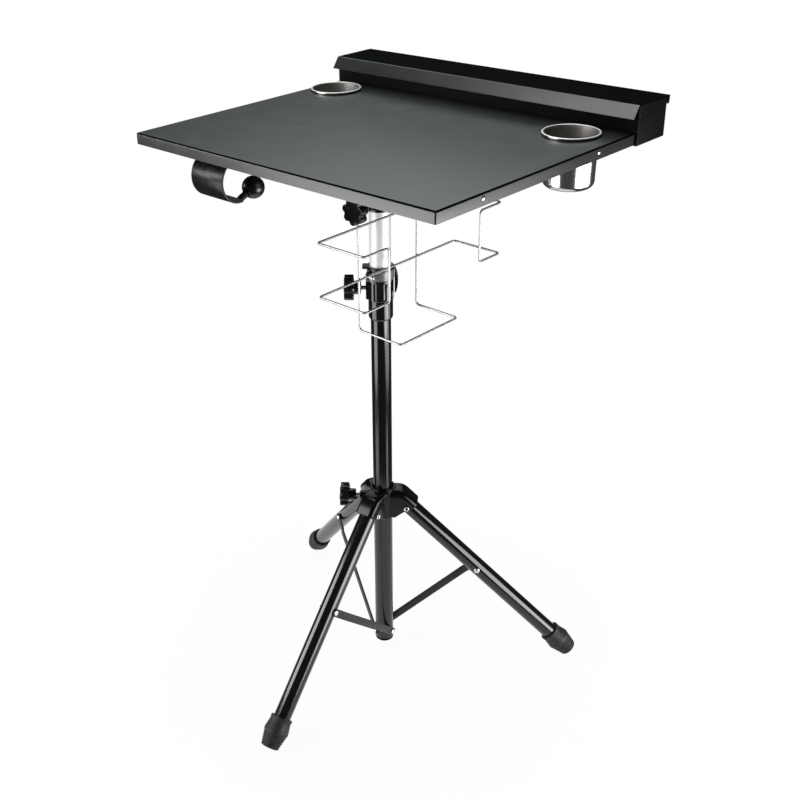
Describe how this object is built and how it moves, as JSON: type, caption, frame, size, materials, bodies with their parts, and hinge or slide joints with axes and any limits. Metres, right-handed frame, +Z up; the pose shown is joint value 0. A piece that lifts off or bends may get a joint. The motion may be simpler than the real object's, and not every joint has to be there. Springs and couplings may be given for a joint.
{
  "type": "tattoo workstation stand",
  "caption": "Steel work tray on a telescopic folding tripod, with a lidded box along its back, drop-in cups, a ball-ended hook and a wire carton holder.",
  "frame": {"origin": "on the floor, in the middle of the footprint of the whole stand", "axes": "+Z up; the tray's front edge faces -Y, the lidded box lies along +Y, and +X is to the right of someone who faces the front"},
  "size_m": [0.5346, 0.563, 0.861],
  "materials": {
    "satin_coat": "satin black powder coat",
    "box_coat": "satin black powder coat, a shade deeper",
    "gloss_coat": "gloss black enamel",
    "brace_coat": "dull dark grey coat",
    "moulding": "moulded black plastic, slightly glossy",
    "rubber": "matt dark grey rubber",
    "chrome": "bright chromium plate",
    "steel": "polished stainless steel",
    "zinc": "bright zinc plate"
  },
  "bodies": {
    "mast": {"mast_tube": "gloss_coat", "mast_plug": "moulding", "mast_collar": "moulding", "collar_band": "brace_coat", "collar_band_bolt": "zinc", "brace_bolt_front": "zinc", "brace_bolt_right": "zinc", "brace_bolt_back": "zinc"},
    "hub": {"hub_casting": "gloss_coat", "leg_rivet_front": "zinc", "leg_rivet_right": "zinc", "leg_rivet_back": "zinc"},
    "leg_front_body": {"leg_front": "gloss_coat", "foot_front": "rubber", "leg_cross_rivet_front": "zinc"},
    "leg_right_body": {"leg_right": "gloss_coat", "foot_right": "rubber", "leg_cross_rivet_right": "zinc"},
    "leg_back_body": {"leg_back": "gloss_coat", "foot_back": "rubber", "leg_cross_rivet_back": "zinc"},
    "brace_front_body": {"brace_front": "brace_coat", "brace_rivet_front": "zinc"},
    "brace_right_body": {"brace_right": "brace_coat", "brace_rivet_right": "zinc"},
    "brace_back_body": {"brace_back": "brace_coat", "brace_rivet_back": "zinc"},
    "pole_body": {"pole": "chrome", "pole_plug": "moulding"},
    "tray": {"tray_pan": "satin_coat", "side_rail_left": "satin_coat", "side_rail_right": "satin_coat", "tray_socket": "gloss_coat", "pole_sleeve": "chrome", "box_shell": "box_coat", "lid_hinge_pin": "zinc", "hook_strap": "gloss_coat", "hook_stem": "moulding", "hook_ball": "moulding", "carton_loop": "chrome", "carton_stirrup": "chrome", "rim_rivet_left_front": "zinc", "rim_rivet_left_back": "zinc", "rim_rivet_right_front": "zinc", "rim_rivet_right_back": "zinc"},
    "lid": {"box_lid": "box_coat"},
    "cup_left_body": {"cup_left": "steel"},
    "cup_right_body": {"cup_right": "steel"},
    "clamp_tray": {"knob_tray": "moulding", "stud_tray": "zinc"},
    "clamp_collar": {"knob_collar": "moulding", "stud_collar": "zinc"},
    "clamp_hub": {"knob_hub": "moulding", "stud_hub": "zinc"}
  },
  "joints": [
    {"name": "hub_slide", "type": "slide", "parent": "mast", "child": "hub", "axis": [0, 0, 1], "range_m": [0, 0.1]},
    {"name": "leg_front_fold", "type": "hinge", "parent": "hub", "child": "leg_front_body", "pos_m": [0.01432, -0.02046, 0.266], "axis": [0.9917, 0.1288, 0], "range_deg": [0, 39.4]},
    {"name": "leg_right_fold", "type": "hinge", "parent": "hub", "child": "leg_right_body", "pos_m": [0.03837, 0.0373, 0.266], "axis": [-0.6074, 0.7944, 0], "range_deg": [0, 39.4]},
    {"name": "leg_back_fold", "type": "hinge", "parent": "hub", "child": "leg_back_body", "pos_m": [-0.02368, 0.02924, 0.266], "axis": [-0.3843, -0.9232, 0], "range_deg": [0, 39.4]},
    {"name": "brace_front_lift", "type": "hinge", "parent": "mast", "child": "brace_front_body", "pos_m": [0.00967, 0.01536, 0.027], "axis": [-0.9917, -0.1288, 0], "range_deg": [0, 32.9]},
    {"name": "brace_right_lift", "type": "hinge", "parent": "mast", "child": "brace_right_body", "pos_m": [0.00967, 0.01536, 0.027], "axis": [0.6074, -0.7944, 0], "range_deg": [0, 32.9]},
    {"name": "brace_back_lift", "type": "hinge", "parent": "mast", "child": "brace_back_body", "pos_m": [0.00967, 0.01536, 0.027], "axis": [0.3843, 0.9232, 0], "range_deg": [0, 32.9]},
    {"name": "height_slide", "type": "slide", "parent": "mast", "child": "pole_body", "axis": [0, 0, 1], "range_m": [0, 0.35]},
    {"name": "tray_swivel", "type": "hinge", "parent": "pole_body", "child": "tray", "pos_m": [0.00967, 0.01536, 0.826], "axis": [0, 0, 1], "range_deg": [-135, 135]},
    {"name": "lid_hinge", "type": "hinge", "parent": "tray", "child": "lid", "pos_m": [0.00967, 0.27846, 0.853], "axis": [-1, 0, 0], "range_deg": [0, 105]},
    {"name": "cup_left_lift", "type": "slide", "parent": "tray", "child": "cup_left_body", "axis": [0, 0, 1], "range_m": [0, 0.09]},
    {"name": "cup_right_lift", "type": "slide", "parent": "tray", "child": "cup_right_body", "axis": [0, 0, 1], "range_m": [0, 0.09]},
    {"name": "knob_tray_turn", "type": "hinge", "parent": "tray", "child": "clamp_tray", "pos_m": [0.00967, 0.01536, 0.7335], "axis": [0, -1, 0], "range_deg": [0, 720]},
    {"name": "knob_collar_turn", "type": "hinge", "parent": "mast", "child": "clamp_collar", "pos_m": [0.00967, 0.01536, 0.6134], "axis": [-0.766, -0.6428, 0], "range_deg": [0, 720]},
    {"name": "knob_hub_turn", "type": "hinge", "parent": "hub", "child": "clamp_hub", "pos_m": [0.00967, 0.01536, 0.278], "axis": [-0.7944, -0.6074, 0], "range_deg": [0, 720]}
  ],
  "couplings": [
    {"joint": "leg_front_fold", "follows": "hub_slide", "rad_per_m": 6.8696},
    {"joint": "leg_right_fold", "follows": "hub_slide", "rad_per_m": 6.8696},
    {"joint": "leg_back_fold", "follows": "hub_slide", "rad_per_m": 6.8696},
    {"joint": "brace_front_lift", "follows": "hub_slide", "rad_per_m": 5.7282},
    {"joint": "brace_right_lift", "follows": "hub_slide", "rad_per_m": 5.7282},
    {"joint": "brace_back_lift", "follows": "hub_slide", "rad_per_m": 5.7282}
  ]
}
